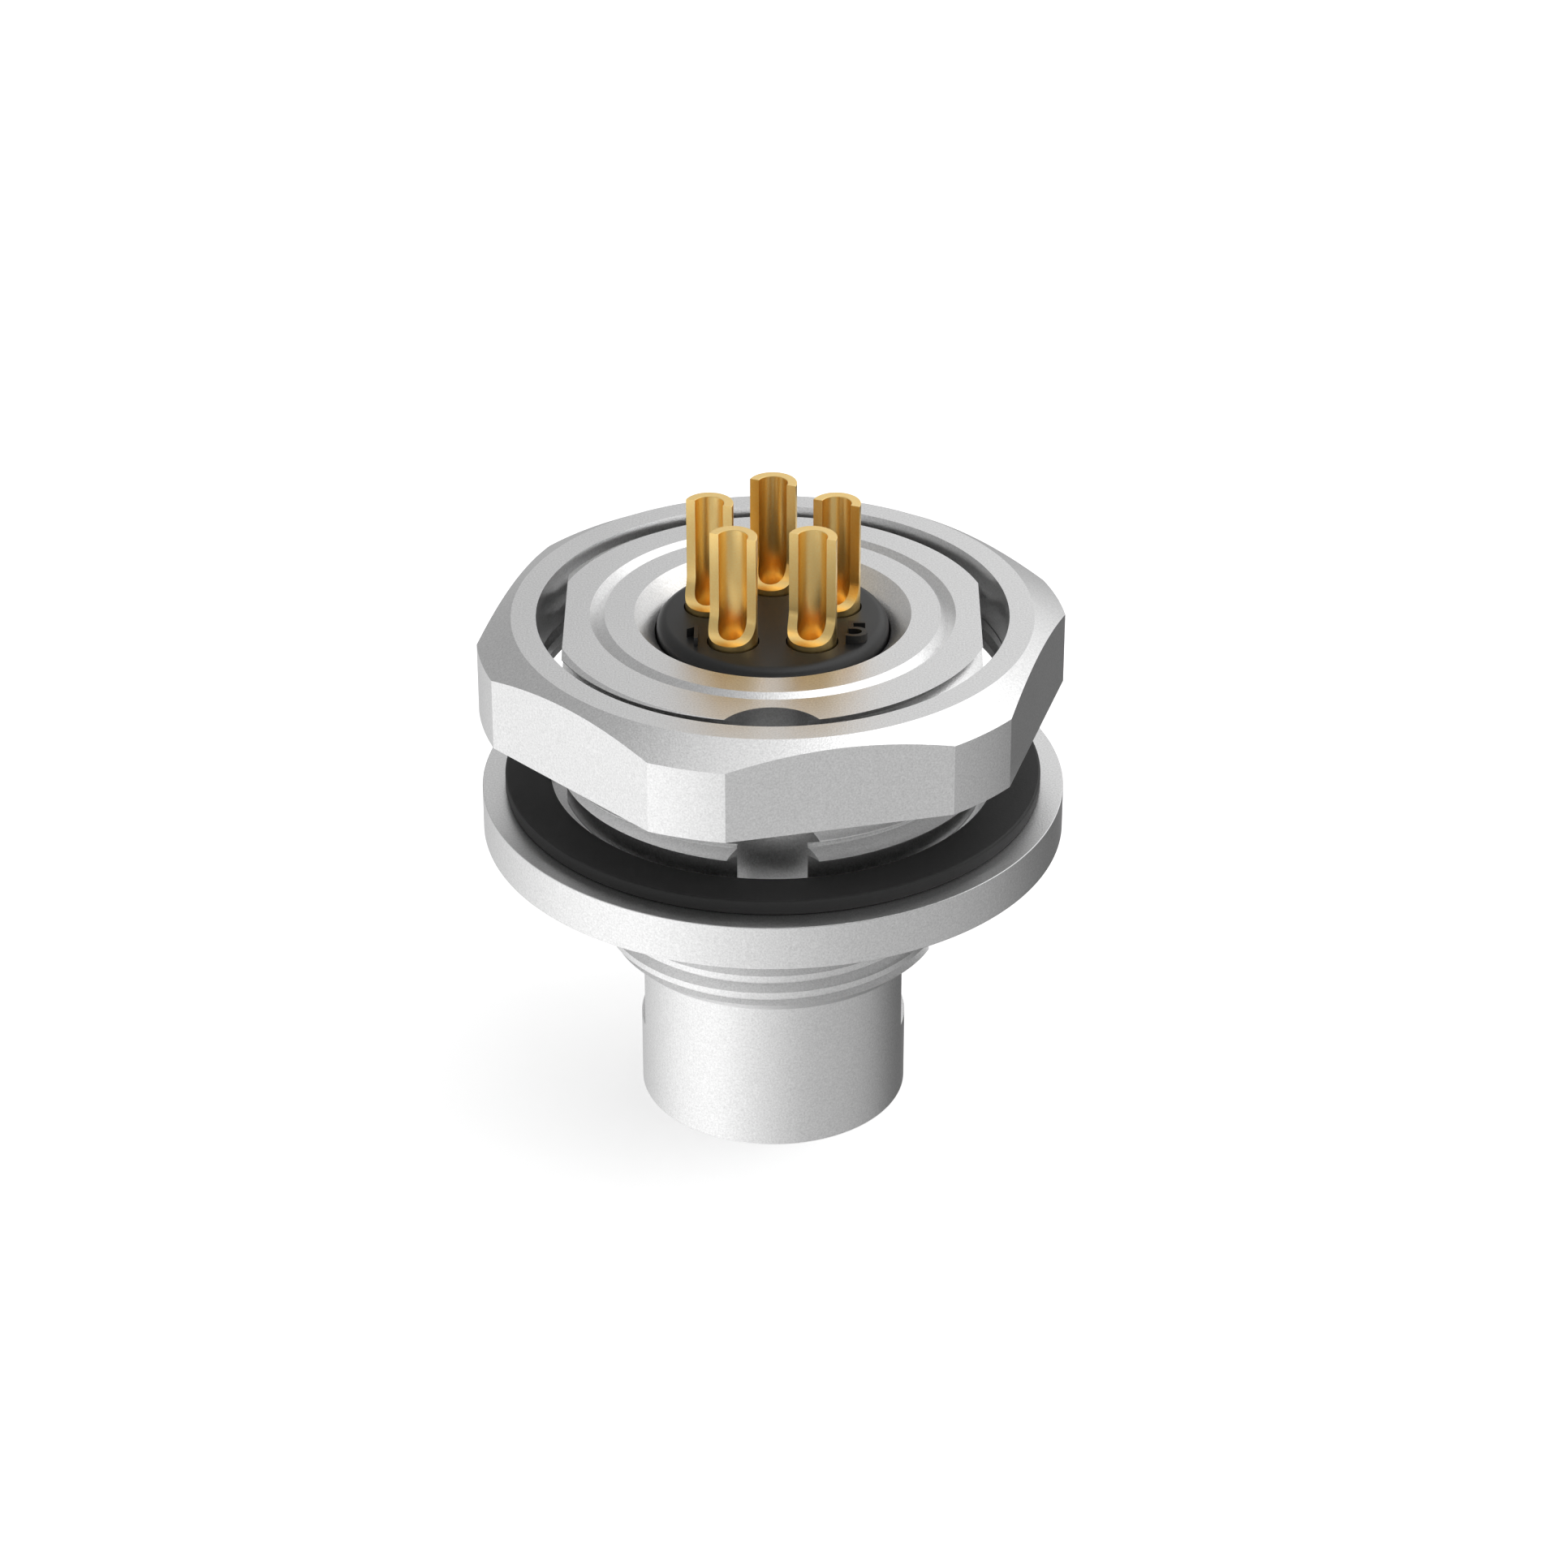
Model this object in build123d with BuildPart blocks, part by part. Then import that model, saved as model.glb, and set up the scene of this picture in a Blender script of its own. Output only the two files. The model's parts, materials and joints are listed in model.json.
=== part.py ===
from build123d import *
import math
import os

# A rear-fastened circular panel receptacle with five solder cups, standing on its mating end.
# Millimetres. The origin is the centre of the barrel's mating end and +Z runs to the solder side.
# Front is -Y: the keyway of the threaded tube and the insert's key slot face that way.

os.makedirs("parts", exist_ok=True)

# Lengths along the axis, from the mating end upwards
barrel_length = 4.55
boss_length = 3.4
flange_thickness = 1.2
rear_relief_width = 0.9
rear_thread_length = 3.95
barrel_ledge_height = 2.05

# Diameters of the turned housing
barrel_diameter = 7.02
boss_diameter = 8.9
flange_diameter = 15.1
rear_thread_diameter = 11.94
rear_bore_diameter = 6.3
front_bore_diameter = 5.5

# Flats, grooves and edges of the housing
barrel_flat_depth = 0.11
boss_flat_depth = 0.37
thread_flat_depth = 0.67
keyway_floor_radius = 5.07
keyway_cutter_diameter = 2.82
boss_chamfer = 0.405
front_relief_width = 0.5
front_relief_depth = 0.42
rear_relief_depth = 0.52
countersink_depth = 0.38
mouth_chamfer = 0.15
top_inner_land = 0.765
top_groove_depth = 0.19
insert_shoulder_height = 6.2
snap_groove_below_top = 1.5
snap_groove_height = 0.5
snap_groove_depth = 0.2

# Nut and gasket
nut_across_flats = 14.0
nut_corner_diameter = 15.15
nut_thickness = 2.45
nut_top_flat_diameter = 13.37
nut_chamfer_angle = 30
nut_turn = 13.8
nut_bore_clearance = 0.075
gasket_thickness = 0.38
gasket_width = 1.175
gasket_inner_clearance = 0.325

# Insert: two plastic halves that trap the five contacts
insert_clearance = 0.08
insert_below_top = 0.12
insert_above_mouth = 0.4
rear_insulator_height = 4.28
insert_edge_radius = 0.28
snap_bead_height = 0.3
snap_bead_reach = 0.13
seal_groove_above_shoulder = 1.2
seal_groove_height = 0.9
seal_groove_depth = 0.62
locating_peg_diameter = 0.9
locating_peg_height = 0.8
locating_peg_clearance = 0.03
key_slot_width = 0.8
key_slot_depth = 0.7
key_slot_height = 4.6

# Contacts
contact_count = 5
contact_circle_diameter = 3.4
first_contact_angle = 234
cup_height = 2.95
cup_diameter = 1.25
cup_bore_diameter = 0.76
cup_sill_height = 0.15
cup_scoop_radius = 0.65
cup_bore_above_sill = 0.13
cup_opening_angle = -111
drill_point_angle = 118
cup_hole_clearance = 0.04
collar_diameter = 1.8
collar_height = 0.6
socket_diameter = 1.04
socket_bore_diameter = 0.72
socket_bore_depth = 5.0
socket_slit_width = 0.15
socket_slit_depth = 3.2
socket_hole_clearance = 0.03
entry_hole_diameter = 0.82
entry_web_thickness = 0.45
entry_gap = 0.05

# Heights above the mating end that follow from the lengths
boss_bottom_z = barrel_length
flange_bottom_z = boss_bottom_z + boss_length
flange_top_z = flange_bottom_z + flange_thickness
thread_bottom_z = flange_top_z + rear_relief_width
housing_top_z = thread_bottom_z + rear_thread_length
insulator_top_z = housing_top_z - insert_below_top
insert_split_z = insulator_top_z - rear_insulator_height
insert_shoulder_z = insert_shoulder_height
snap_groove_z = housing_top_z - snap_groove_below_top - snap_groove_height
snap_bead_z = snap_groove_z + (snap_groove_height - snap_bead_height) / 2
seal_groove_z = insert_shoulder_z + seal_groove_above_shoulder
collar_bottom_z = insert_split_z - collar_height
insert_front_z = insert_above_mouth
socket_front_z = insert_front_z + entry_web_thickness + entry_gap
cup_rim_z = insulator_top_z + cup_height
cup_sill_z = insulator_top_z + cup_sill_height
cup_bore_bottom_z = cup_sill_z + cup_bore_above_sill

# Radii that follow from the diameters
barrel_radius = barrel_diameter / 2
boss_radius = boss_diameter / 2
flange_radius = flange_diameter / 2
rear_thread_radius = rear_thread_diameter / 2
rear_relief_radius = rear_thread_radius - rear_relief_depth
front_relief_radius = boss_radius - front_relief_depth
rear_bore_radius = rear_bore_diameter / 2
front_bore_radius = front_bore_diameter / 2
top_groove_mid_radius = rear_bore_radius + countersink_depth + top_inner_land + top_groove_depth
keyway_cutter_radius = keyway_cutter_diameter / 2
gasket_inner_radius = rear_relief_radius + gasket_inner_clearance
insert_radius = rear_bore_radius - insert_clearance
insert_nose_radius = front_bore_radius - insert_clearance
seal_groove_radius = insert_radius - seal_groove_depth
contact_circle_radius = contact_circle_diameter / 2
cup_radius = cup_diameter / 2
cup_bore_radius = cup_bore_diameter / 2
drill_point_depth = cup_bore_radius / math.tan(math.radians(drill_point_angle / 2))
beyond = 1.0


def contact_centre(number):
    """Returns the place in plan of a contact, counted clockwise from the one at the front left."""
    angle = math.radians(first_contact_angle - number * 360 / contact_count)
    return contact_circle_radius * math.cos(angle), contact_circle_radius * math.sin(angle)


contact_centres = [contact_centre(number) for number in range(contact_count)]


# Housing: one turned piece with the threaded rear tube, the flange, the front boss and the barrel.
# It is swept round from the back, so that no seam of its round walls lies on a flat.
with BuildPart() as housing:
    with BuildSketch(Plane.YZ):
        with BuildLine():
            Polyline(
                (front_bore_radius + mouth_chamfer, 0),
                (barrel_radius, 0),
                (barrel_radius, boss_bottom_z),
                (boss_radius - boss_chamfer, boss_bottom_z),
                (boss_radius, boss_bottom_z + boss_chamfer),
                (boss_radius, flange_bottom_z - front_relief_width),
                (front_relief_radius, flange_bottom_z - front_relief_width),
                (front_relief_radius, flange_bottom_z),
                (flange_radius, flange_bottom_z),
                (flange_radius, flange_top_z),
                (rear_relief_radius, flange_top_z),
                (rear_relief_radius, thread_bottom_z),
                (rear_thread_radius, thread_bottom_z),
                (rear_thread_radius, housing_top_z),
                (rear_bore_radius + countersink_depth, housing_top_z),
                (rear_bore_radius, housing_top_z - countersink_depth),
                (rear_bore_radius, insert_shoulder_z),
                (front_bore_radius, insert_shoulder_z),
                (front_bore_radius, mouth_chamfer),
                close=True,
            )
        make_face()
    revolve(axis=Axis.Z)
    # Ring groove in the rear face, with both flanks at 45 degrees
    with BuildSketch(Plane.XZ):
        with Locations((top_groove_mid_radius, housing_top_z)):
            Rectangle(math.sqrt(2) * top_groove_depth, math.sqrt(2) * top_groove_depth, rotation=45)
    revolve(axis=Axis.Z, mode=Mode.SUBTRACT)
    # Groove in the bore for the insert's snap bead
    with BuildSketch(Plane.XY.offset(snap_groove_z)):
        Circle(rear_bore_radius + snap_groove_depth)
    extrude(amount=snap_groove_height, mode=Mode.SUBTRACT)
    # Flats on both sides of the threaded tube, and the round-bottomed keyway at its front
    with BuildSketch(Plane.XY.offset(flange_top_z)):
        Circle(rear_thread_radius + beyond)
        Rectangle(rear_thread_diameter - 2 * thread_flat_depth, 2 * rear_thread_diameter, mode=Mode.SUBTRACT)
        with Locations((0, -keyway_floor_radius - keyway_cutter_radius)):
            Circle(keyway_cutter_radius)
    extrude(amount=housing_top_z - flange_top_z + beyond, mode=Mode.SUBTRACT)
    # Flats on both sides of the boss, which cut through its coupling thread
    with BuildSketch(Plane.XY.offset(boss_bottom_z)):
        Circle(boss_radius + beyond)
        Rectangle(boss_diameter - 2 * boss_flat_depth, 2 * boss_diameter, mode=Mode.SUBTRACT)
    extrude(amount=boss_length, mode=Mode.SUBTRACT)
    # Flats on both sides of the barrel, ending in a ledge
    with BuildSketch(Plane.XY.offset(barrel_ledge_height)):
        Circle(barrel_radius + beyond)
        Rectangle(barrel_diameter - 2 * barrel_flat_depth, 2 * barrel_diameter, mode=Mode.SUBTRACT)
    extrude(amount=boss_bottom_z - barrel_ledge_height, mode=Mode.SUBTRACT)
housing.part.label = "housing"
export_step(housing.part, "parts/housing.step")


# Hexagon nut with turned corners, chamfered on its outer side only
nut_bottom_z = housing_top_z - nut_thickness
nut_blank_radius = nut_corner_diameter / 2 + beyond
nut_chamfer_drop = (nut_blank_radius - nut_top_flat_diameter / 2) * math.tan(math.radians(nut_chamfer_angle))
with BuildPart() as hex_nut:
    with BuildSketch(Plane.XY.offset(nut_bottom_z)):
        RegularPolygon(nut_across_flats / 2, 6, major_radius=False, rotation=nut_turn)
        Circle(nut_corner_diameter / 2, mode=Mode.INTERSECT)
        Circle(rear_thread_radius + nut_bore_clearance, mode=Mode.SUBTRACT)
    extrude(amount=nut_thickness)
    with BuildSketch(Plane.XZ):
        with BuildLine():
            Polyline(
                (nut_top_flat_diameter / 2, housing_top_z),
                (nut_blank_radius, housing_top_z),
                (nut_blank_radius, housing_top_z - nut_chamfer_drop),
                close=True,
            )
        make_face()
    revolve(axis=Axis.Z, mode=Mode.SUBTRACT)
hex_nut.part.label = "hex_nut"
export_step(hex_nut.part, "parts/hex_nut.step")


# Flat rubber ring that seals the flange against the panel
with BuildPart() as panel_gasket:
    with BuildSketch(Plane.XY.offset(flange_top_z)):
        Circle(gasket_inner_radius + gasket_width)
        Circle(gasket_inner_radius, mode=Mode.SUBTRACT)
    extrude(amount=gasket_thickness)
panel_gasket.part.label = "panel_gasket"
export_step(panel_gasket.part, "parts/panel_gasket.step")


# Rear half of the insert, whose rounded face shows between the cups
with BuildPart() as rear_insulator:
    with BuildSketch(Plane.XY.offset(insert_split_z)):
        Circle(insert_radius)
    extrude(amount=insulator_top_z - insert_split_z)
    fillet(rear_insulator.edges().group_by(Axis.Z)[-1], insert_edge_radius)
    with BuildSketch(Plane.XZ):
        with BuildLine():
            Polyline(
                (insert_radius - snap_bead_reach, snap_bead_z),
                (rear_bore_radius + snap_bead_reach, snap_bead_z + snap_bead_height / 2),
                (rear_bore_radius + snap_bead_reach, snap_bead_z + snap_bead_height),
                (insert_radius - snap_bead_reach, snap_bead_z + snap_bead_height),
                close=True,
            )
        make_face()
    revolve(axis=Axis.Z)
    with BuildSketch(Plane.XY.offset(insert_split_z)):
        with Locations(*contact_centres):
            Circle(cup_radius + cup_hole_clearance)
    extrude(amount=insulator_top_z - insert_split_z, mode=Mode.SUBTRACT)
    with BuildSketch(Plane.XY.offset(insert_split_z)):
        Circle(locating_peg_diameter / 2 + locating_peg_clearance)
    extrude(amount=locating_peg_height + locating_peg_clearance, mode=Mode.SUBTRACT)
rear_insulator.part.label = "rear_insulator"
export_step(rear_insulator.part, "parts/rear_insulator.step")


# Front half of the insert: the socket face, the shoulder and the seal's groove
with BuildPart() as front_insulator:
    with BuildSketch(Plane.XY.offset(insert_front_z)):
        Circle(insert_nose_radius)
        with Locations((0, key_slot_depth / 2 - insert_nose_radius)):
            Rectangle(key_slot_width, key_slot_depth + insert_clearance, mode=Mode.SUBTRACT)
    extrude(amount=key_slot_height)
    with BuildSketch(Plane.XY.offset(insert_front_z + key_slot_height)):
        Circle(insert_nose_radius)
    extrude(amount=insert_shoulder_z - insert_front_z - key_slot_height)
    with BuildSketch(Plane.XY.offset(insert_shoulder_z)):
        Circle(insert_radius)
    extrude(amount=insert_split_z - insert_shoulder_z)
    with BuildSketch(Plane.XY.offset(seal_groove_z)):
        Circle(insert_radius + beyond)
        Circle(seal_groove_radius, mode=Mode.SUBTRACT)
    extrude(amount=seal_groove_height, mode=Mode.SUBTRACT)
    with BuildSketch(Plane.XY.offset(insert_split_z)):
        Circle(locating_peg_diameter / 2)
    extrude(amount=locating_peg_height)
    # Chambers for the contacts: collar seat, socket hole and the smaller hole in the front web
    with BuildSketch(Plane.XY.offset(collar_bottom_z)):
        with Locations(*contact_centres):
            Circle(collar_diameter / 2 + socket_hole_clearance)
    extrude(amount=collar_height, mode=Mode.SUBTRACT)
    with BuildSketch(Plane.XY.offset(insert_front_z + entry_web_thickness)):
        with Locations(*contact_centres):
            Circle(socket_diameter / 2 + socket_hole_clearance)
    extrude(amount=collar_bottom_z - insert_front_z - entry_web_thickness, mode=Mode.SUBTRACT)
    with BuildSketch(Plane.XY.offset(insert_front_z)):
        with Locations(*contact_centres):
            Circle(entry_hole_diameter / 2)
    extrude(amount=entry_web_thickness, mode=Mode.SUBTRACT)
front_insulator.part.label = "front_insulator"
export_step(front_insulator.part, "parts/front_insulator.step")


# Square-cut seal between the insert and the housing's bore
seal_width = rear_bore_radius - seal_groove_radius
with BuildPart() as insert_seal:
    with BuildSketch(Plane.XZ):
        with Locations((seal_groove_radius + seal_width / 2, seal_groove_z + seal_groove_height / 2)):
            Rectangle(seal_width, seal_width)
    revolve(axis=Axis.Z)
insert_seal.part.label = "insert_seal"
export_step(insert_seal.part, "parts/insert_seal.step")


# Contacts: slit socket, trapped collar and solder cup, with every cup open towards the front left
for contact_number, (centre_x, centre_y) in enumerate(contact_centres, start=1):
    turned_plane = Plane(origin=(centre_x, centre_y, 0), x_dir=(1, 0, 0), z_dir=(0, -1, 0))
    contact_axis = Axis((centre_x, centre_y, 0), (0, 0, 1))
    opening_x = math.cos(math.radians(cup_opening_angle))
    opening_y = math.sin(math.radians(cup_opening_angle))
    scoop_plane = Plane(
        origin=(centre_x, centre_y, 0), x_dir=(opening_x, opening_y, 0), z_dir=(opening_y, -opening_x, 0)
    )
    with BuildPart() as contact:
        with BuildSketch(turned_plane):
            with BuildLine():
                Polyline(
                    (0, socket_front_z + socket_bore_depth),
                    (socket_bore_diameter / 2, socket_front_z + socket_bore_depth),
                    (socket_bore_diameter / 2, socket_front_z),
                    (socket_diameter / 2, socket_front_z),
                    (socket_diameter / 2, collar_bottom_z),
                    (collar_diameter / 2, collar_bottom_z),
                    (collar_diameter / 2, insert_split_z),
                    (cup_radius, insert_split_z),
                    (cup_radius, cup_rim_z),
                    (cup_bore_radius, cup_rim_z),
                    (cup_bore_radius, cup_bore_bottom_z),
                    (0, cup_bore_bottom_z - drill_point_depth),
                    close=True,
                )
            make_face()
        revolve(axis=contact_axis)
        # Scoop that opens the cup: a flat cut through the axis, swept out by a round at its foot
        with BuildSketch(scoop_plane):
            with BuildLine():
                RadiusArc(
                    (0, cup_sill_z + cup_scoop_radius), (cup_scoop_radius, cup_sill_z), -cup_scoop_radius
                )
                Polyline(
                    (cup_scoop_radius, cup_sill_z),
                    (cup_radius + beyond, cup_sill_z),
                    (cup_radius + beyond, cup_rim_z + beyond),
                    (0, cup_rim_z + beyond),
                    (0, cup_sill_z + cup_scoop_radius),
                )
            make_face()
        extrude(amount=cup_diameter, both=True, mode=Mode.SUBTRACT)
        # A slit across the socket's mouth leaves two spring fingers
        with BuildSketch(Plane.XY.offset(socket_front_z)):
            with Locations((centre_x, centre_y)):
                Rectangle(socket_slit_width, 2 * socket_diameter)
        extrude(amount=socket_slit_depth, mode=Mode.SUBTRACT)
    contact.part.label = f"contact_{contact_number}"
    export_step(contact.part, f"parts/contact_{contact_number}.step")
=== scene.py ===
# %% [markdown]
# # A circular panel mount connector
# The object is a small receptacle, about 15 mm wide and 17 mm tall. It stands on its mating end,
# with five gold solder cups upwards. A hexagon nut sits at the end of its threaded tube, and a flat
# rubber gasket lies on the flange, ready for a panel.
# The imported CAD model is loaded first. It gives the places and sizes that every piece keeps.

import json
import math

import bmesh
import bpy
from mathutils import Matrix, Vector

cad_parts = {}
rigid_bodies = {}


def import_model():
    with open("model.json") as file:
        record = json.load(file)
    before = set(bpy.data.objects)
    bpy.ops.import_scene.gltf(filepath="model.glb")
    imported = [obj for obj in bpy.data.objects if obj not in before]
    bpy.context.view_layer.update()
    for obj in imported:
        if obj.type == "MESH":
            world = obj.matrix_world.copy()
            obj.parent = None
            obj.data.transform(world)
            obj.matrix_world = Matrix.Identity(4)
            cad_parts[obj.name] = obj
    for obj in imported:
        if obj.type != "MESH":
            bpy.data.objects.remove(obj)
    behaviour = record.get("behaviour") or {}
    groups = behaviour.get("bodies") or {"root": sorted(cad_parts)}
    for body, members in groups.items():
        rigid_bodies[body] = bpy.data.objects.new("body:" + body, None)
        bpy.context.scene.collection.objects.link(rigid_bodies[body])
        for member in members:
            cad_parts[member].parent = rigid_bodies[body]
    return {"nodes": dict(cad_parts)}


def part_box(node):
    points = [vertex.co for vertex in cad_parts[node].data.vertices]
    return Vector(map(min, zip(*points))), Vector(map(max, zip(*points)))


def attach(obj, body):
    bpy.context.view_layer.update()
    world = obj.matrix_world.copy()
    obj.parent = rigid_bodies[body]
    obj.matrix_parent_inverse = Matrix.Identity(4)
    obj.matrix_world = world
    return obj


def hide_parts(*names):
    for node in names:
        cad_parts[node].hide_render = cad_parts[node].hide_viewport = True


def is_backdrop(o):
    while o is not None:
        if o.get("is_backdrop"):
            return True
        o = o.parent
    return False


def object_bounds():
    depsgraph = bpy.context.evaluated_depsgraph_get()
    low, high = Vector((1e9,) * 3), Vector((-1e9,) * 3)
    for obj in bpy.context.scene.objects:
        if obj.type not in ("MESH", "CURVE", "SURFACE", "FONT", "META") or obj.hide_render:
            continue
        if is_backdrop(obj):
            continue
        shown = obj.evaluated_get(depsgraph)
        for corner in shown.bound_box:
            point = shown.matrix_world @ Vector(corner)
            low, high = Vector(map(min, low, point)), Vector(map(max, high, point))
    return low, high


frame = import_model()
scene = bpy.context.scene
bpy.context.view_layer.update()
print("CAD nodes:", ", ".join(sorted(frame["nodes"])))

# %% [markdown]
# The pieces are modelled in millimetres and made metres when they are finished. At this size
# metres would bring Blender's merge and bevel distances close to the limits of its numbers.
# Heights and radii that the CAD model knows are read from it. The rest are named here.

# %% Sizes read from the frame
metres_per_mm = 0.001


def span(node):
    """Gives the lowest and highest corner of a CAD node in millimetres."""
    low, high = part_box(node)
    return low / metres_per_mm, high / metres_per_mm


housing_high = span("housing")[1]
nut_low, nut_high = span("hex_nut")
gasket_low, gasket_high = span("panel_gasket")
insulator_low, insulator_high = span("rear_insulator")
contact_low, contact_high = span("contact_1")
tube_top = housing_high.z
flange_radius = housing_high.x
flange_top = gasket_low.z
cup_rim = contact_high.z
print(f"tube ends at {tube_top:.2f} mm, flange radius {flange_radius:.2f} mm, cups end at {cup_rim:.2f} mm")

# %% Sizes of the turned housing
barrel_radius = 3.51
barrel_length = 4.55
boss_radius = 4.45
boss_chamfer = 0.405
boss_flat_offset = 4.08
flange_thickness = 1.2
front_relief_radius = 4.03
front_relief_width = 0.5
rear_relief_radius = 5.45
thread_bottom = 9.96
rear_bore_radius = 3.15
mouth_radius = 3.025
mouth_depth = 1.5
front_bore_radius = 2.75
insert_shoulder = 6.2
countersink = 0.515
mouth_chamfer = 0.15
ring_groove_radius = 4.485
ring_groove_depth = 0.19
tube_flat_offset = 5.3
keyway_floor = 5.07
keyway_radius = 1.41
barrel_flat_offset = 3.4
barrel_ledge = 2.05
flange_bottom = flange_top - flange_thickness

# %% [markdown]
# ## The helpers
# Nearly every surface of a turned part is an outline spun about its axis. One helper does that. It
# softens the outline's corners first, because a real lathe part has its edges broken by a few
# hundredths of a millimetre, and those thin bright lines are what makes metal look machined.

# %% Spin an outline into a solid
spin_steps = 240
merge_distance = 0.0002


def close_up(bm):
    """Merges doubled points and turns all faces outwards."""
    bmesh.ops.remove_doubles(bm, verts=bm.verts[:], dist=merge_distance)
    bmesh.ops.dissolve_degenerate(bm, dist=merge_distance / 2, edges=bm.edges[:])
    bmesh.ops.recalc_face_normals(bm, faces=bm.faces[:])
    return bm


def turned(outline, edge_break=0.0, steps=spin_steps):
    """Spins an outline of radius and height points about the axis into a closed solid."""
    bm = bmesh.new()
    corners = [bm.verts.new((radius, 0, height)) for radius, height in outline]
    for start, end in zip(corners, corners[1:]):
        bm.edges.new((start, end))
    off_axis = [corner for corner in corners if corner.co.x > merge_distance]
    if len(off_axis) == len(corners):
        bm.edges.new((corners[-1], corners[0]))
    if edge_break:
        bmesh.ops.bevel(
            bm, geom=off_axis, offset=edge_break, offset_type="OFFSET", segments=2,
            profile=0.5, affect="VERTICES", material=-1,
        )
    bmesh.ops.spin(
        bm, geom=bm.verts[:] + bm.edges[:], cent=(0, 0, 0), axis=(0, 0, 1),
        angle=2 * math.pi, steps=steps, use_merge=True,
    )
    return close_up(bm)


def cylinder(radius, bottom, top, steps=spin_steps):
    """Spins a plain cylinder, mostly to cut a round hole with."""
    return turned([(0, bottom), (radius, bottom), (radius, top), (0, top)], steps=steps)


def arc(centre, radius, start, end, steps):
    """Gives the points of a round stretch of an outline, from a start to an end angle in degrees."""
    points = []
    for step in range(steps + 1):
        angle = math.radians(start + (end - start) * step / steps)
        points.append((centre[0] + radius * math.cos(angle), centre[1] + radius * math.sin(angle)))
    return points


# %% Extrude an outline into a solid
def extruded(corners, along):
    """Makes a flat outline solid by sweeping it along a vector."""
    bm = bmesh.new()
    face = bm.faces.new([bm.verts.new(corner) for corner in corners])
    swept = bmesh.ops.extrude_face_region(bm, geom=[face])
    far_corners = [item for item in swept["geom"] if isinstance(item, bmesh.types.BMVert)]
    bmesh.ops.translate(bm, vec=along, verts=far_corners)
    bmesh.ops.recalc_face_normals(bm, faces=bm.faces[:])
    return bm


# %% Make objects, combine them and mill flats
def as_object(name, bm):
    """Puts a finished bmesh into the scene as an object."""
    mesh = bpy.data.meshes.new(name)
    bm.to_mesh(mesh)
    bm.free()
    made = bpy.data.objects.new(name, mesh)
    scene.collection.objects.link(made)
    return made


def combine(piece, tool, operation):
    """Cuts, joins or trims a piece with a tool that isn't needed afterwards."""
    step = piece.modifiers.new(operation, "BOOLEAN")
    step.operation = operation
    step.solver = "EXACT"
    step.object = tool
    evaluated = piece.evaluated_get(bpy.context.evaluated_depsgraph_get())
    result = bpy.data.meshes.new_from_object(evaluated)
    piece.modifiers.clear()
    piece.data = result
    bpy.data.objects.remove(tool)


mill_width = 2.0
mill_travel = 16.0


def mill_flats(piece, offset, bottom, top):
    """Mills two flats, at the same distance to the left and right of the axis."""
    for side in (-1, 1):
        middle = Vector((side * (offset + mill_width / 2), 0, (bottom + top) / 2))
        bm = bmesh.new()
        bmesh.ops.create_cube(bm, size=1)
        bmesh.ops.scale(bm, vec=(mill_width, mill_travel, top - bottom), verts=bm.verts[:])
        bmesh.ops.translate(bm, vec=middle, verts=bm.verts[:])
        combine(piece, as_object("mill", bm), "DIFFERENCE")


# %% [markdown]
# A screw thread is the same short outline spun while it climbs. The outline is one pitch tall, so
# after a full turn its lower end meets the upper end of the turn before, and the doubles merge into
# one continuous helical skin. The skin is made longer than needed and cut flat at both ends.

# %% Spin a thread
thread_steps = 180
spare_turns = 2


def threaded_rod(root_radius, crest_radius, pitch, crest_width, root_width, bottom, top, start_angle):
    """Makes a solid rod with a right-hand thread between two heights."""
    flank = (pitch - crest_width - root_width) / 2
    first = bottom - spare_turns * pitch
    turns = math.ceil((top - bottom) / pitch) + 2 * spare_turns
    heights = (0, flank, flank + crest_width, 2 * flank + crest_width, pitch)
    radii = (root_radius, crest_radius, crest_radius, root_radius, root_radius)
    bm = bmesh.new()
    corners = [bm.verts.new((radius, 0, first + height)) for radius, height in zip(radii, heights)]
    for start, end in zip(corners, corners[1:]):
        bm.edges.new((start, end))
    bmesh.ops.spin(
        bm, geom=bm.verts[:] + bm.edges[:], cent=(0, 0, 0), axis=(0, 0, 1),
        dvec=(0, 0, pitch / thread_steps), angle=2 * math.pi * turns, steps=thread_steps * turns,
    )
    bmesh.ops.rotate(bm, verts=bm.verts[:], matrix=Matrix.Rotation(math.radians(start_angle), 3, "Z"))
    bmesh.ops.remove_doubles(bm, verts=bm.verts[:], dist=merge_distance)
    for height, outwards in ((top, 1), (bottom, -1)):
        bmesh.ops.bisect_plane(
            bm, geom=bm.verts[:] + bm.edges[:] + bm.faces[:], dist=merge_distance / 10,
            plane_co=(0, 0, height), plane_no=(0, 0, outwards), clear_outer=True,
        )
    bmesh.ops.holes_fill(bm, edges=[edge for edge in bm.edges if edge.is_boundary], sides=0)
    bmesh.ops.recalc_face_normals(bm, faces=bm.faces[:])
    return as_object("threaded_rod", bm)


# %% [markdown]
# A finished piece is scaled to metres, shaded smooth with sharp edges where its faces meet at more
# than a few degrees, given its finish and attached to the body it moves with. The CAD nodes it
# stands for are hidden.

# %% Finish a piece
sharp_from_degrees = 12


def settle(piece, material, slot, body, *nodes):
    """Scales, shades and colours a finished piece, attaches it to its body and hides its CAD nodes."""
    mesh = piece.data
    mesh.transform(Matrix.Scale(metres_per_mm, 4))
    mesh.shade_smooth()
    mesh.set_sharp_from_angle(angle=math.radians(sharp_from_degrees))
    mesh.materials.clear()
    mesh.materials.append(material)
    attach(piece, body)
    if nodes:
        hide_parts(*nodes)
    mesh.calc_loop_triangles()
    print(f"{piece.name}: {len(mesh.loop_triangles)} triangles")


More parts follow.
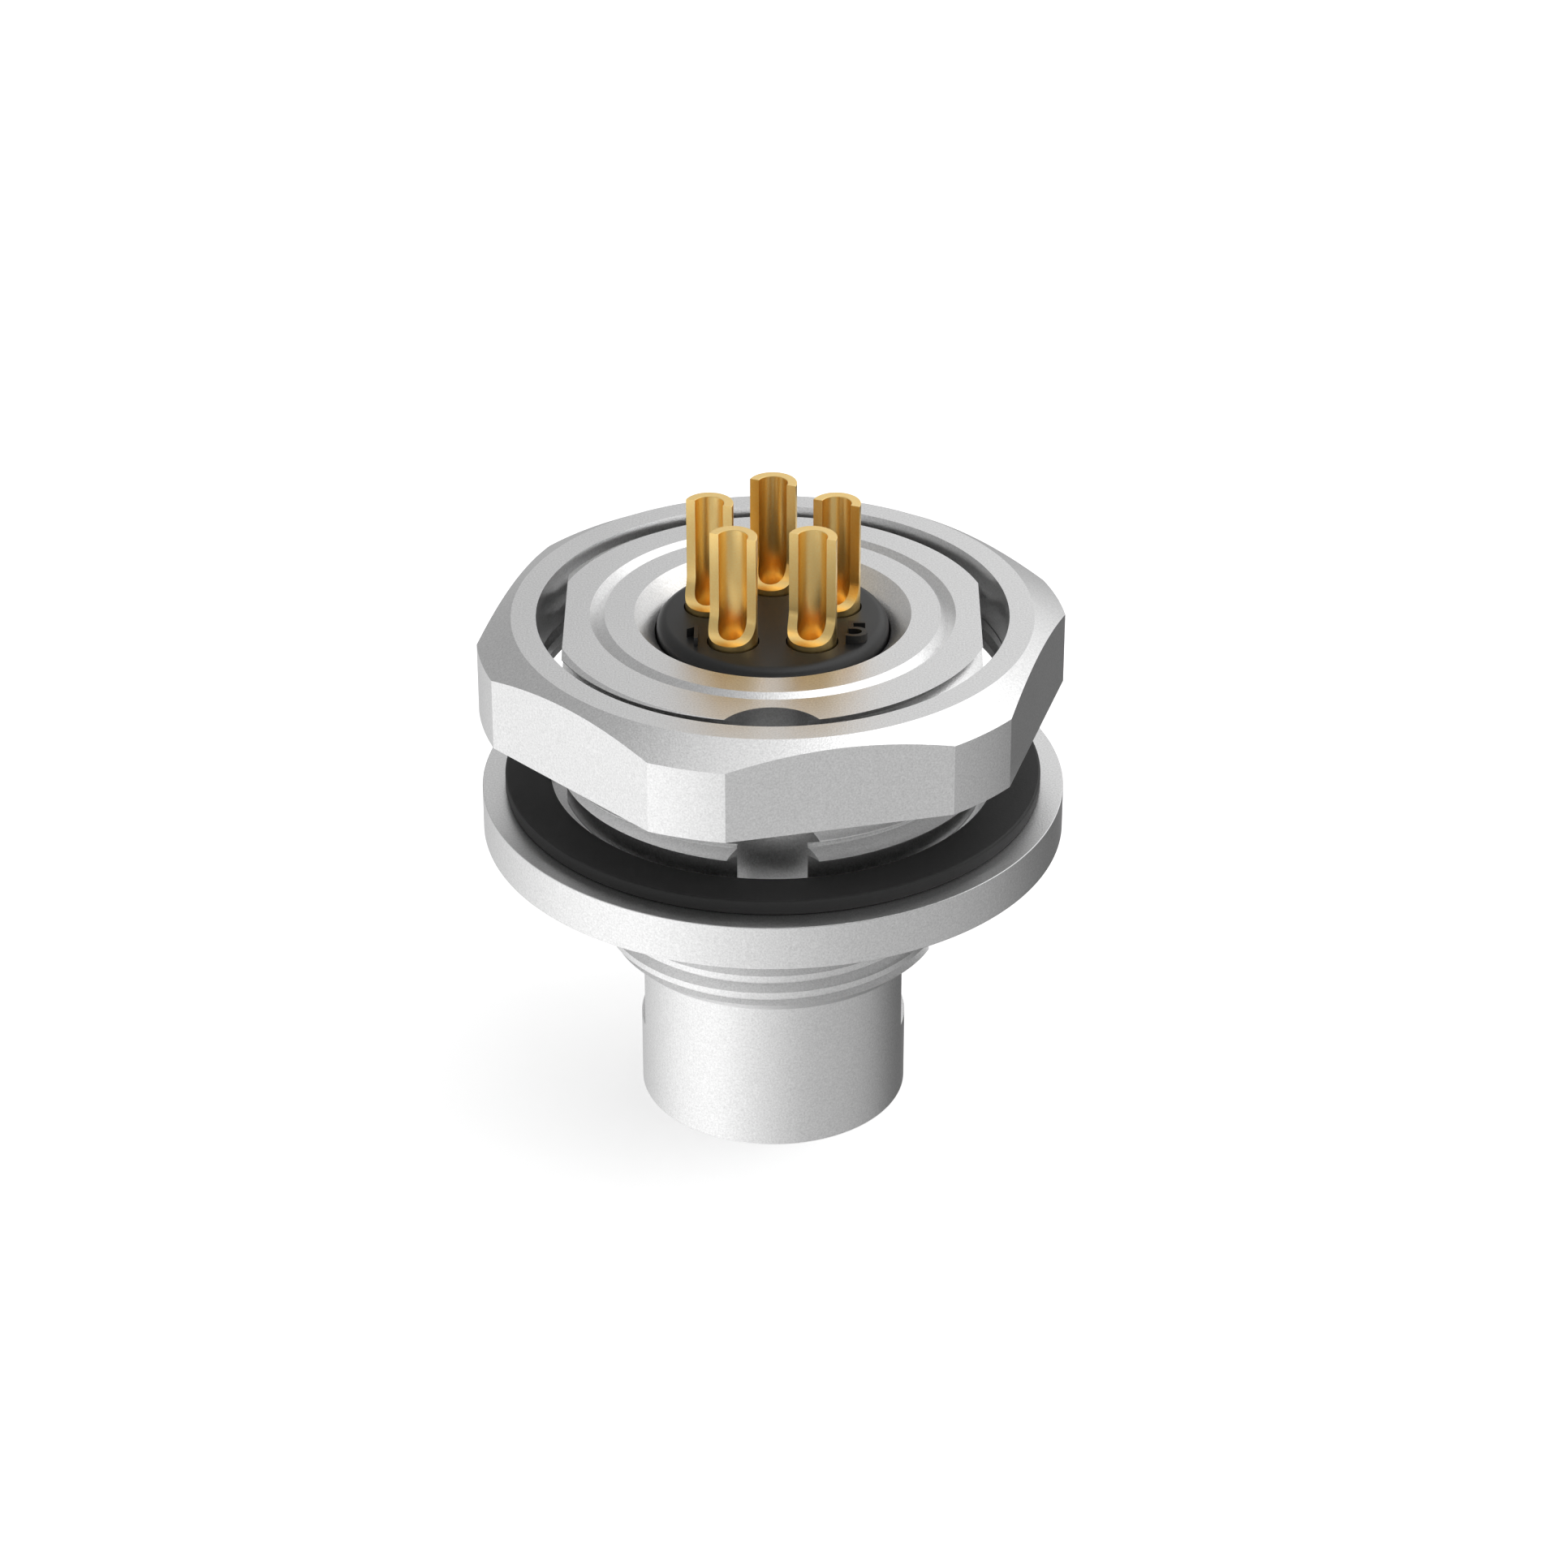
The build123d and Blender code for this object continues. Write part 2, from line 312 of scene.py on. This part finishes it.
# %% [markdown]
# ## The finishes
# The metal is bead blasted and plated, so its grain has no direction: tiny dimples of about 0.05 mm
# under broader, very faint clouds. The moulded plastic and the rubber share the same kind of grain
# at other sizes, so it is built once as a node group. The colour follows the grain too, because
# plating is paler on the crests of the dimples than in them.

# %% The grain group
grain = bpy.data.node_groups.new("surface_grain", "ShaderNodeTree")
for socket_name, default in (("Grain Size", 0.00005), ("Cloud Size", 0.002), ("Cloud Share", 0.3)):
    socket = grain.interface.new_socket(name=socket_name, in_out="INPUT", socket_type="NodeSocketFloat")
    socket.default_value = default
grain.interface.new_socket(name="Coordinates", in_out="INPUT", socket_type="NodeSocketVector")
grain.interface.new_socket(name="Height", in_out="OUTPUT", socket_type="NodeSocketFloat")
grain.interface.new_socket(name="Clouds", in_out="OUTPUT", socket_type="NodeSocketFloat")


def add_node(tree, kind, **values):
    """Adds a node and sets its properties, or its inputs where the name is one of theirs."""
    node = tree.nodes.new(kind)
    for name, value in values.items():
        if name in node.inputs:
            node.inputs[name].default_value = value
        else:
            setattr(node, name, value)
    return node


def build_grain(tree):
    """Fills the grain group: a fine and a broad noise, mixed by the cloud share."""
    link = tree.links.new
    entry = add_node(tree, "NodeGroupInput")
    leave = add_node(tree, "NodeGroupOutput")
    fine_scale = add_node(tree, "ShaderNodeMath", operation="DIVIDE")
    broad_scale = add_node(tree, "ShaderNodeMath", operation="DIVIDE")
    fine = add_node(tree, "ShaderNodeTexNoise", Detail=2.0, Roughness=0.6)
    broad = add_node(tree, "ShaderNodeTexNoise", Detail=3.0, Roughness=0.5)
    both = add_node(tree, "ShaderNodeMix", data_type="FLOAT")
    fine_scale.inputs[0].default_value = 1.0
    broad_scale.inputs[0].default_value = 1.0
    link(entry.outputs["Grain Size"], fine_scale.inputs[1])
    link(entry.outputs["Cloud Size"], broad_scale.inputs[1])
    for noise, scale in ((fine, fine_scale), (broad, broad_scale)):
        link(entry.outputs["Coordinates"], noise.inputs["Vector"])
        link(scale.outputs[0], noise.inputs["Scale"])
    link(entry.outputs["Cloud Share"], both.inputs[0])
    link(fine.outputs["Fac"], both.inputs[2])
    link(broad.outputs["Fac"], both.inputs[3])
    link(both.outputs[0], leave.inputs["Height"])
    link(broad.outputs["Fac"], leave.inputs["Clouds"])


build_grain(grain)
print("grain group nodes:", len(grain.nodes))


# %% Material helper
def grained_material(
    name, dark, light, roughness, grain_size, cloud_size, cloud_share, bump_strength, bump_height, **constants
):
    """Makes a material whose colour, roughness and relief vary with the grain."""
    material = bpy.data.materials.new(name)
    material.use_nodes = True
    tree = material.node_tree
    link = tree.links.new
    shader = tree.nodes["Principled BSDF"]
    for socket_name, value in constants.items():
        shader.inputs[socket_name].default_value = value
    place = add_node(tree, "ShaderNodeTexCoord")
    texture = add_node(tree, "ShaderNodeGroup", node_tree=grain)
    texture.inputs["Grain Size"].default_value = grain_size
    texture.inputs["Cloud Size"].default_value = cloud_size
    texture.inputs["Cloud Share"].default_value = cloud_share
    link(place.outputs["Object"], texture.inputs["Coordinates"])
    colour = add_node(tree, "ShaderNodeMix", data_type="RGBA")
    colour.inputs[6].default_value = (*dark, 1)
    colour.inputs[7].default_value = (*light, 1)
    link(texture.outputs["Height"], colour.inputs[0])
    link(colour.outputs[2], shader.inputs["Base Color"])
    shine = add_node(tree, "ShaderNodeMapRange")
    shine.inputs["To Min"].default_value = roughness[0]
    shine.inputs["To Max"].default_value = roughness[1]
    link(texture.outputs["Clouds"], shine.inputs["Value"])
    link(shine.outputs["Result"], shader.inputs["Roughness"])
    relief = add_node(tree, "ShaderNodeBump", Strength=bump_strength, Distance=bump_height)
    link(texture.outputs["Height"], relief.inputs["Height"])
    link(relief.outputs["Normal"], shader.inputs["Normal"])
    return material


# %% The four finishes
nickel = grained_material(
    "satin_nickel", dark=(0.52, 0.52, 0.52), light=(1.0, 1.0, 1.0), roughness=(0.3, 0.34),
    grain_size=0.00005, cloud_size=0.0025, cloud_share=0.08,
    bump_strength=0.8, bump_height=0.000006, Metallic=1.0,
)
gold = grained_material(
    "matte_gold", dark=(1.0, 0.64, 0.21), light=(1.0, 0.79, 0.35), roughness=(0.29, 0.33),
    grain_size=0.00005, cloud_size=0.0012, cloud_share=0.1,
    bump_strength=0.35, bump_height=0.000004, Metallic=1.0,
)
plastic = grained_material(
    "black_moulded_plastic", dark=(0.008, 0.008, 0.008), light=(0.018, 0.018, 0.018), roughness=(0.36, 0.44),
    grain_size=0.00004, cloud_size=0.0015, cloud_share=0.2,
    bump_strength=0.3, bump_height=0.000004, Metallic=0.0, IOR=1.45,
)
rubber = grained_material(
    "soft_black_rubber", dark=(0.012, 0.012, 0.012), light=(0.022, 0.022, 0.022), roughness=(0.55, 0.7),
    grain_size=0.00006, cloud_size=0.002, cloud_share=0.3,
    bump_strength=0.5, bump_height=0.000008, Metallic=0.0, IOR=1.5,
)
print("finishes:", nickel.name, gold.name, plastic.name, rubber.name)

# %% [markdown]
# ## The housing
# The real housing is turned from one bar, and its flats and keyway are milled afterwards. The piece
# is made in the same order: the plain turned body, the two threads joined to it, then the bore, the
# ring groove, the flats and the keyway cut out.

# %% The turned body
edge_break = 0.02
overlap = 0.3
body_outline = [
    (0, 0),
    (barrel_radius, 0),
    (barrel_radius, barrel_length),
    (front_relief_radius, barrel_length),
    (front_relief_radius, flange_bottom),
    (flange_radius, flange_bottom),
    (flange_radius, flange_top),
    (rear_relief_radius, flange_top),
    (rear_relief_radius, thread_bottom + overlap),
    (0, thread_bottom + overlap),
]
housing = as_object("turned_housing", turned(body_outline, edge_break))
print("turned body:", len(housing.data.polygons), "faces")

# %% [markdown]
# The rear thread takes the nut. The tube's end face cuts through it, so its edge isn't round: it
# is widest at the front left, where the last crest ends. The boss under the flange carries a second
# thread, for the plug's coupling ring, with broad crests and a steep chamfer.

# %% The two outer threads
rear_pitch = 0.58
rear_thread = threaded_rod(
    root_radius=5.44, crest_radius=5.82, pitch=rear_pitch, crest_width=0.02, root_width=0.12,
    bottom=thread_bottom, top=tube_top, start_angle=62,
)
boss_thread = threaded_rod(
    root_radius=4.21, crest_radius=boss_radius, pitch=0.5, crest_width=0.17, root_width=0.05,
    bottom=barrel_length, top=flange_bottom - front_relief_width, start_angle=311.4,
)
chamfer_ring = as_object("chamfer", turned([
    (boss_radius - boss_chamfer, barrel_length - overlap),
    (boss_radius + overlap, barrel_length - overlap),
    (boss_radius + overlap, barrel_length + boss_chamfer + overlap),
    (boss_radius - boss_chamfer, barrel_length),
]))
combine(boss_thread, chamfer_ring, "DIFFERENCE")
combine(housing, rear_thread, "UNION")
combine(housing, boss_thread, "UNION")
print("with threads:", len(housing.data.polygons), "faces")

# %% The bore, the ring groove and the milled cuts
beyond = 1.0
bore = as_object("bore", turned([
    (0, -beyond),
    (front_bore_radius + mouth_chamfer + beyond, -beyond),
    (front_bore_radius, mouth_chamfer),
    (front_bore_radius, insert_shoulder),
    (rear_bore_radius, insert_shoulder),
    (rear_bore_radius, tube_top - mouth_depth),
    (mouth_radius, tube_top - mouth_depth),
    (mouth_radius, tube_top - countersink),
    (mouth_radius + countersink + beyond, tube_top + beyond),
    (0, tube_top + beyond),
]))
combine(housing, bore, "DIFFERENCE")
ring_groove = as_object("ring_groove", turned([
    (ring_groove_radius - ring_groove_depth - overlap, tube_top + overlap),
    (ring_groove_radius, tube_top - ring_groove_depth),
    (ring_groove_radius + ring_groove_depth + overlap, tube_top + overlap),
]))
combine(housing, ring_groove, "DIFFERENCE")
mill_flats(housing, tube_flat_offset, flange_top, tube_top + beyond)
mill_flats(housing, boss_flat_offset, barrel_length, flange_bottom)
mill_flats(housing, barrel_flat_offset, barrel_ledge, barrel_length)
keyway = as_object("keyway", cylinder(keyway_radius, flange_top, tube_top + beyond))
keyway.data.transform(Matrix.Translation((0, -keyway_floor - keyway_radius, 0)))
combine(housing, keyway, "DIFFERENCE")
settle(housing, nickel, "nickel_plating", "receptacle", "housing")

# %% [markdown]
# ## The nut
# A hexagon bar is chamfered and its corners are turned down a little on the lathe, which leaves the
# narrow corner faces. It is easiest to intersect a six-sided prism with a turned blank that carries
# the chamfer. The bore is plain at the outer end, then threaded.

# %% The hexagon nut
nut_across_flats = 14.0
nut_corner_radius = 7.575
nut_face_radius = 6.685
nut_chamfer_angle = 30
nut_turn = 13.8
nut_bore_radius = 6.045
nut_thread_depth = 0.15
nut_thread_core = 0.05
nut_plain_end = 1.5
nut_height = nut_high.z - nut_low.z
bar_radius = nut_across_flats / math.sqrt(3)
bm = bmesh.new()
bmesh.ops.create_cone(
    bm, cap_ends=True, segments=6, radius1=bar_radius, radius2=bar_radius, depth=nut_height + 2 * overlap,
)
bmesh.ops.translate(bm, vec=(0, 0, (nut_low.z + nut_high.z) / 2), verts=bm.verts[:])
bmesh.ops.rotate(bm, verts=bm.verts[:], matrix=Matrix.Rotation(math.radians(nut_turn + 30), 3, "Z"))
nut = as_object("threaded_nut", bm)
chamfer_drop = (nut_corner_radius - nut_face_radius) * math.tan(math.radians(nut_chamfer_angle))
blank = as_object("blank", turned([
    (0, nut_low.z),
    (nut_corner_radius, nut_low.z),
    (nut_corner_radius, nut_high.z - chamfer_drop),
    (nut_face_radius, nut_high.z),
    (0, nut_high.z),
]))
combine(nut, blank, "INTERSECT")
print("nut blank:", len(nut.data.polygons), "faces")

# %% Thread the nut
plain_bore = as_object("plain_bore", cylinder(nut_bore_radius, nut_low.z - overlap, nut_high.z + overlap))
tap = threaded_rod(
    root_radius=nut_bore_radius - nut_thread_core, crest_radius=nut_bore_radius + nut_thread_depth,
    pitch=rear_pitch, crest_width=0.05, root_width=0.15,
    bottom=nut_low.z - overlap, top=nut_high.z - nut_plain_end, start_angle=30,
)
combine(nut, plain_bore, "DIFFERENCE")
combine(nut, tap, "DIFFERENCE")
settle(nut, nickel, "nickel_plating", "nut", "hex_nut")

# %% [markdown]
# ## Gasket and insulator
# The gasket is a flat moulded ring with soft edges. The insulator's rim is rounded, and five holes
# leave a dark hairline round each contact.

# %% The gasket
gasket_inner_radius = 5.775
gasket_edge = 0.06
gasket = as_object("gasket_ring", turned([
    (gasket_inner_radius, gasket_low.z),
    (gasket_high.x, gasket_low.z),
    (gasket_high.x, gasket_high.z),
    (gasket_inner_radius, gasket_high.z),
], gasket_edge))
settle(gasket, rubber, "black_rubber", "receptacle", "panel_gasket")

# %% The rear insulator
insert_radius = 3.07
insert_end_radius = 2.97
snap_bead_radius = insulator_high.x
snap_bead_bottom = 12.1
snap_bead_top = 12.4
rim_round = 0.28
hole_radius = 0.665
insulator_outline = [
    (0, insulator_low.z),
    (insert_radius, insulator_low.z),
    (insert_radius, snap_bead_bottom),
    (snap_bead_radius, (snap_bead_bottom + snap_bead_top) / 2),
    (snap_bead_radius, snap_bead_top),
    (insert_end_radius, snap_bead_top),
]
rim_centre = (insert_end_radius - rim_round, insulator_high.z - rim_round)
insulator_outline += arc(rim_centre, rim_round, 0, 90, 8)
insulator_outline.append((0, insulator_high.z))
insulator = as_object("rear_insert", turned(insulator_outline))
contact_centres = []
for number in range(1, 6):
    low, high = span(f"contact_{number}")
    centre = (low + high) / 2
    contact_centres.append(Vector((centre.x, centre.y, 0)))
    drill = cylinder(hole_radius, insulator_low.z - overlap, insulator_high.z + overlap, steps=72)
    hole = as_object("hole", drill)
    hole.data.transform(Matrix.Translation(contact_centres[-1]))
    combine(insulator, hole, "DIFFERENCE")
settle(insulator, plastic, "black_plastic", "receptacle", "rear_insulator")

# %% [markdown]
# ## The numerals
# Raised figures 1 and 5 mark the first and last contact. The 1 is only a stem with a flag, so its
# outline is written down and extruded. Blender's text makes the round 5, which becomes a mesh.

# %% Numeral 1
numeral_height = 0.24
numeral_sink = 0.02
numeral_foot = insulator_high.z - numeral_sink
numeral_thickness = numeral_height + numeral_sink
stem_left = -1.985
stem_right = -1.89
stem_foot = -1.65
stem_top = -0.97
one_outline = (
    (stem_right, stem_foot), (stem_right, stem_top), (-1.97, stem_top),
    (-2.176, -1.09), (-2.176, -1.172), (stem_left, -1.062), (stem_left, stem_foot),
)
one_corners = [(x, y, numeral_foot) for x, y in one_outline]
numeral_one = as_object("numeral_1", extruded(one_corners, (0, 0, numeral_thickness)))
settle(numeral_one, plastic, "black_plastic", "receptacle")

# %% Numeral 5
five_centre = (2.13, -1.19)
five_stretch = 1.2
curve = bpy.data.curves.new("figure", "FONT")
curve.body = "5"
curve.size = 1.19
curve.extrude = numeral_thickness / 2
curve.align_x = "CENTER"
curve.align_y = "CENTER"
figure = bpy.data.objects.new("figure", curve)
scene.collection.objects.link(figure)
evaluated = figure.evaluated_get(bpy.context.evaluated_depsgraph_get())
mesh = bpy.data.meshes.new_from_object(evaluated)
bpy.data.objects.remove(figure)
mesh.transform(Matrix.Scale(five_stretch, 4, (1, 0, 0)))
mesh.transform(Matrix.Translation((*five_centre, numeral_foot + curve.extrude)))
numeral_five = bpy.data.objects.new("numeral_5", mesh)
scene.collection.objects.link(numeral_five)
settle(numeral_five, plastic, "black_plastic", "receptacle")

# %% [markdown]
# ## The contacts
# Each contact is one turned piece. Its upper end is a solder cup: a drilled bore, opened along one
# side by a flat cut that sweeps outwards in a round at its foot. The five are alike and face the
# same way, so one is made and copied.

# %% One contact
cup_radius = 0.625
cup_bore_radius = 0.38
cup_sill = 14.03
cup_bore_bottom = 13.7
drill_point = 0.23
scoop_radius = 0.65
collar_radius = 0.9
collar_height = 0.6
socket_radius = 0.52
socket_bore_radius = 0.36
socket_bore_depth = 5.0
cup_edge = 0.015
cup_opening_angle = -111
collar_top = insulator_low.z
collar_bottom = collar_top - collar_height
contact_outline = [
    (0, contact_low.z + socket_bore_depth),
    (socket_bore_radius, contact_low.z + socket_bore_depth),
    (socket_bore_radius, contact_low.z),
    (socket_radius, contact_low.z),
    (socket_radius, collar_bottom),
    (collar_radius, collar_bottom),
    (collar_radius, collar_top),
    (cup_radius, collar_top),
    (cup_radius, cup_rim),
    (cup_bore_radius, cup_rim),
    (cup_bore_radius, cup_bore_bottom),
    (0, cup_bore_bottom - drill_point),
]
scoop_outline = [
    (0, cup_rim + beyond),
    *arc((scoop_radius, cup_sill + scoop_radius), scoop_radius, 180, 270, 12),
    (cup_radius + beyond, cup_sill),
    (cup_radius + beyond, cup_rim + beyond),
]
scoop_corners = [(x, -beyond, z) for x, z in scoop_outline]
scoop = as_object("scoop", extruded(scoop_corners, (0, 2 * beyond, 0)))
scoop.data.transform(Matrix.Rotation(math.radians(cup_opening_angle), 4, "Z"))
contact = as_object("contact", turned(contact_outline, cup_edge, steps=96))
combine(contact, scoop, "DIFFERENCE")
print("one contact:", len(contact.data.polygons), "faces")

# %% Place the five contacts
for number, centre in enumerate(contact_centres, start=1):
    placed = bpy.data.objects.new(f"solder_contact_{number}", contact.data.copy())
    scene.collection.objects.link(placed)
    placed.data.transform(Matrix.Translation(centre))
    settle(placed, gold, "gold_plating", "receptacle", f"contact_{number}")
bpy.data.objects.remove(contact)

# %% [markdown]
# The front insulator and the seal are inside the housing. Their CAD solids have the right shape, so
# they stay and only take their finish.

# %% Finish the inner CAD pieces
for node, material in (("front_insulator", plastic), ("insert_seal", rubber)):
    mesh = frame["nodes"][node].data
    mesh.materials.clear()
    mesh.materials.append(material)

# %% [markdown]
# ## Camera, floor and light
# The photograph looks down on the connector by 30 degrees through a long lens. The floor is plain and
# pale. It shows white to the camera and takes the soft shadow. Metal doesn't mirror it: mirrored rays
# pass through and meet the lower half of the room, so that the tones on the metal can be set there.

# %% Camera
camera_data = bpy.data.cameras.new("camera")
camera_data.lens = 108.8
camera_data.sensor_width = 36
camera_data.clip_start = 0.01
camera = bpy.data.objects.new("camera", camera_data)
camera.location = (0.000288, -0.107244, 0.070179)
camera.rotation_euler = (math.radians(60.27), 0, 0)
scene.collection.objects.link(camera)
bpy.context.scene.camera = camera

# %% Floor
floor_radius = 0.6
floor_gap = 0.00002
bm = bmesh.new()
bmesh.ops.create_circle(bm, cap_ends=True, segments=96, radius=floor_radius)
bmesh.ops.translate(bm, vec=(0, 0, -floor_gap), verts=bm.verts[:])
floor = as_object("floor", bm)
floor_material = bpy.data.materials.new("pale_floor")
floor_material.use_nodes = True
tree = floor_material.node_tree
tree.nodes.clear()
link = tree.links.new
output = add_node(tree, "ShaderNodeOutputMaterial")
paint = add_node(tree, "ShaderNodeBsdfDiffuse", Color=(0.9, 0.9, 0.9, 1))
glow = add_node(tree, "ShaderNodeEmission")
path = add_node(tree, "ShaderNodeLightPath")
clear = add_node(tree, "ShaderNodeBsdfTransparent")
top_up = add_node(tree, "ShaderNodeMath", operation="MULTIPLY")
top_up.inputs[1].default_value = 0.5
seen = add_node(tree, "ShaderNodeAddShader")
pick = add_node(tree, "ShaderNodeMixShader")
link(path.outputs["Is Camera Ray"], top_up.inputs[0])
link(top_up.outputs[0], glow.inputs["Strength"])
link(paint.outputs[0], seen.inputs[0])
link(glow.outputs[0], seen.inputs[1])
link(path.outputs["Is Glossy Ray"], pick.inputs[0])
link(seen.outputs[0], pick.inputs[1])
link(clear.outputs[0], pick.inputs[2])
link(pick.outputs[0], output.inputs["Surface"])
floor.data.materials.append(floor_material)
floor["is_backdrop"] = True

# %% [markdown]
# Satin metal shows little but its surroundings, so the room is what makes it look real. An upright
# wall of the part mirrors the lower half of the room. Its brightness is therefore written down by
# bearing, in degrees from +X: bright at the left of the photographer, dark behind the part at the
# right. The upper half is pale and grows brighter towards the back right. Four soft panels add the
# bright patches on chamfers and rims, and the light that the solder cups catch from above.

# %% Light panels


def panel(name, direction, distance, size, brightness):
    """Hangs a soft square panel that faces the connector. Brightness 1 looks white in a mirror."""
    light_data = bpy.data.lights.new(name, "AREA")
    light_data.shape = "SQUARE"
    light_data.size = size
    light_data.energy = brightness * math.pi * size ** 2
    light = bpy.data.objects.new(name, light_data)
    away = Vector(direction).normalized()
    light.location = away * distance
    light.rotation_euler = away.to_track_quat("Z", "Y").to_euler()
    scene.collection.objects.link(light)


panel("right_panel", direction=(0.62, -0.05, 0.78), distance=0.11, size=0.1, brightness=1.05)
panel("front_panel", direction=(0.2, -0.4, 0.9), distance=0.45, size=0.26, brightness=0.8)
panel("back_panel", direction=(0.212, 0.791, 0.574), distance=0.1, size=0.05, brightness=0.15)
panel("top_panel", direction=(0, 0, 1), distance=0.3, size=0.22, brightness=0.45)

# %% The room
world = bpy.data.worlds.new("room")
scene.world = world
world.use_nodes = True
tree = world.node_tree
link = tree.links.new
background = tree.nodes["Background"]
background.inputs["Color"].default_value = (1, 1, 1, 1)

place = add_node(tree, "ShaderNodeTexCoord")
parts = add_node(tree, "ShaderNodeSeparateXYZ")

# %% The lower half of the room, by bearing
lower_levels = (
    (-180, 1.23), (-170, 1.29), (-140, 1.38), (-110, 1.06), (-90, 0.87), (-60, 0.61), (-30, 0.55),
    (0, 0.44), (30, 0.2), (60, 0.12), (90, 0.4), (106, 0.63), (130, 0.74), (160, 1.0), (180, 1.23),
)
brightest = max(level for degrees, level in lower_levels)
bearing = add_node(tree, "ShaderNodeMath", operation="ARCTAN2")
around = add_node(tree, "ShaderNodeMapRange")
around.inputs["From Min"].default_value = -math.pi
around.inputs["From Max"].default_value = math.pi
ring = add_node(tree, "ShaderNodeValToRGB")
stops = ring.color_ramp.elements
stops.remove(stops[0])
for degrees, level in lower_levels:
    stop = stops[-1] if degrees == 180 else stops.new((degrees + 180) / 360)
    stop.color = (level / brightest,) * 3 + (1,)
gain = add_node(tree, "ShaderNodeMath", operation="MULTIPLY")
gain.inputs[1].default_value = brightest
link(place.outputs["Generated"], parts.inputs[0])
link(parts.outputs["Y"], bearing.inputs[0])
link(parts.outputs["X"], bearing.inputs[1])
link(bearing.outputs[0], around.inputs["Value"])
link(around.outputs["Result"], ring.inputs[0])
link(ring.outputs["Color"], gain.inputs[0])
print("room levels by bearing:", len(stops))

# %% The upper half of the room
glow_direction = (0.545, 0.65, 0.53)
glow_edge = 0.5
glow_falloff = 2.5
glow_level = 0.72
dim_level = 0.44
towards = add_node(tree, "ShaderNodeVectorMath", operation="DOT_PRODUCT")
towards.inputs[1].default_value = glow_direction
fade = add_node(tree, "ShaderNodeMapRange")
fade.inputs["From Min"].default_value = glow_edge
falloff = add_node(tree, "ShaderNodeMath", operation="POWER")
falloff.inputs[1].default_value = glow_falloff
upper = add_node(tree, "ShaderNodeMath", operation="MULTIPLY_ADD")
upper.inputs[1].default_value = glow_level
upper.inputs[2].default_value = dim_level
link(place.outputs["Generated"], towards.inputs[0])
link(towards.outputs["Value"], fade.inputs["Value"])
link(fade.outputs["Result"], falloff.inputs[0])
link(falloff.outputs[0], upper.inputs[0])

# %% Join the halves at the horizon
horizon = add_node(tree, "ShaderNodeMapRange")
horizon.inputs["From Min"].default_value = -0.3
horizon.inputs["From Max"].default_value = 0.15
blend = add_node(tree, "ShaderNodeMix", data_type="FLOAT")
link(parts.outputs["Z"], horizon.inputs["Value"])
link(horizon.outputs["Result"], blend.inputs[0])
link(gain.outputs[0], blend.inputs[2])
link(upper.outputs[0], blend.inputs[3])
link(blend.outputs[0], background.inputs["Strength"])

# %% Look settings and visual size
scene.view_settings.view_transform = "Standard"
low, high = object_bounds()
print("visual size in mm:", [round(side / metres_per_mm, 3) for side in high - low])
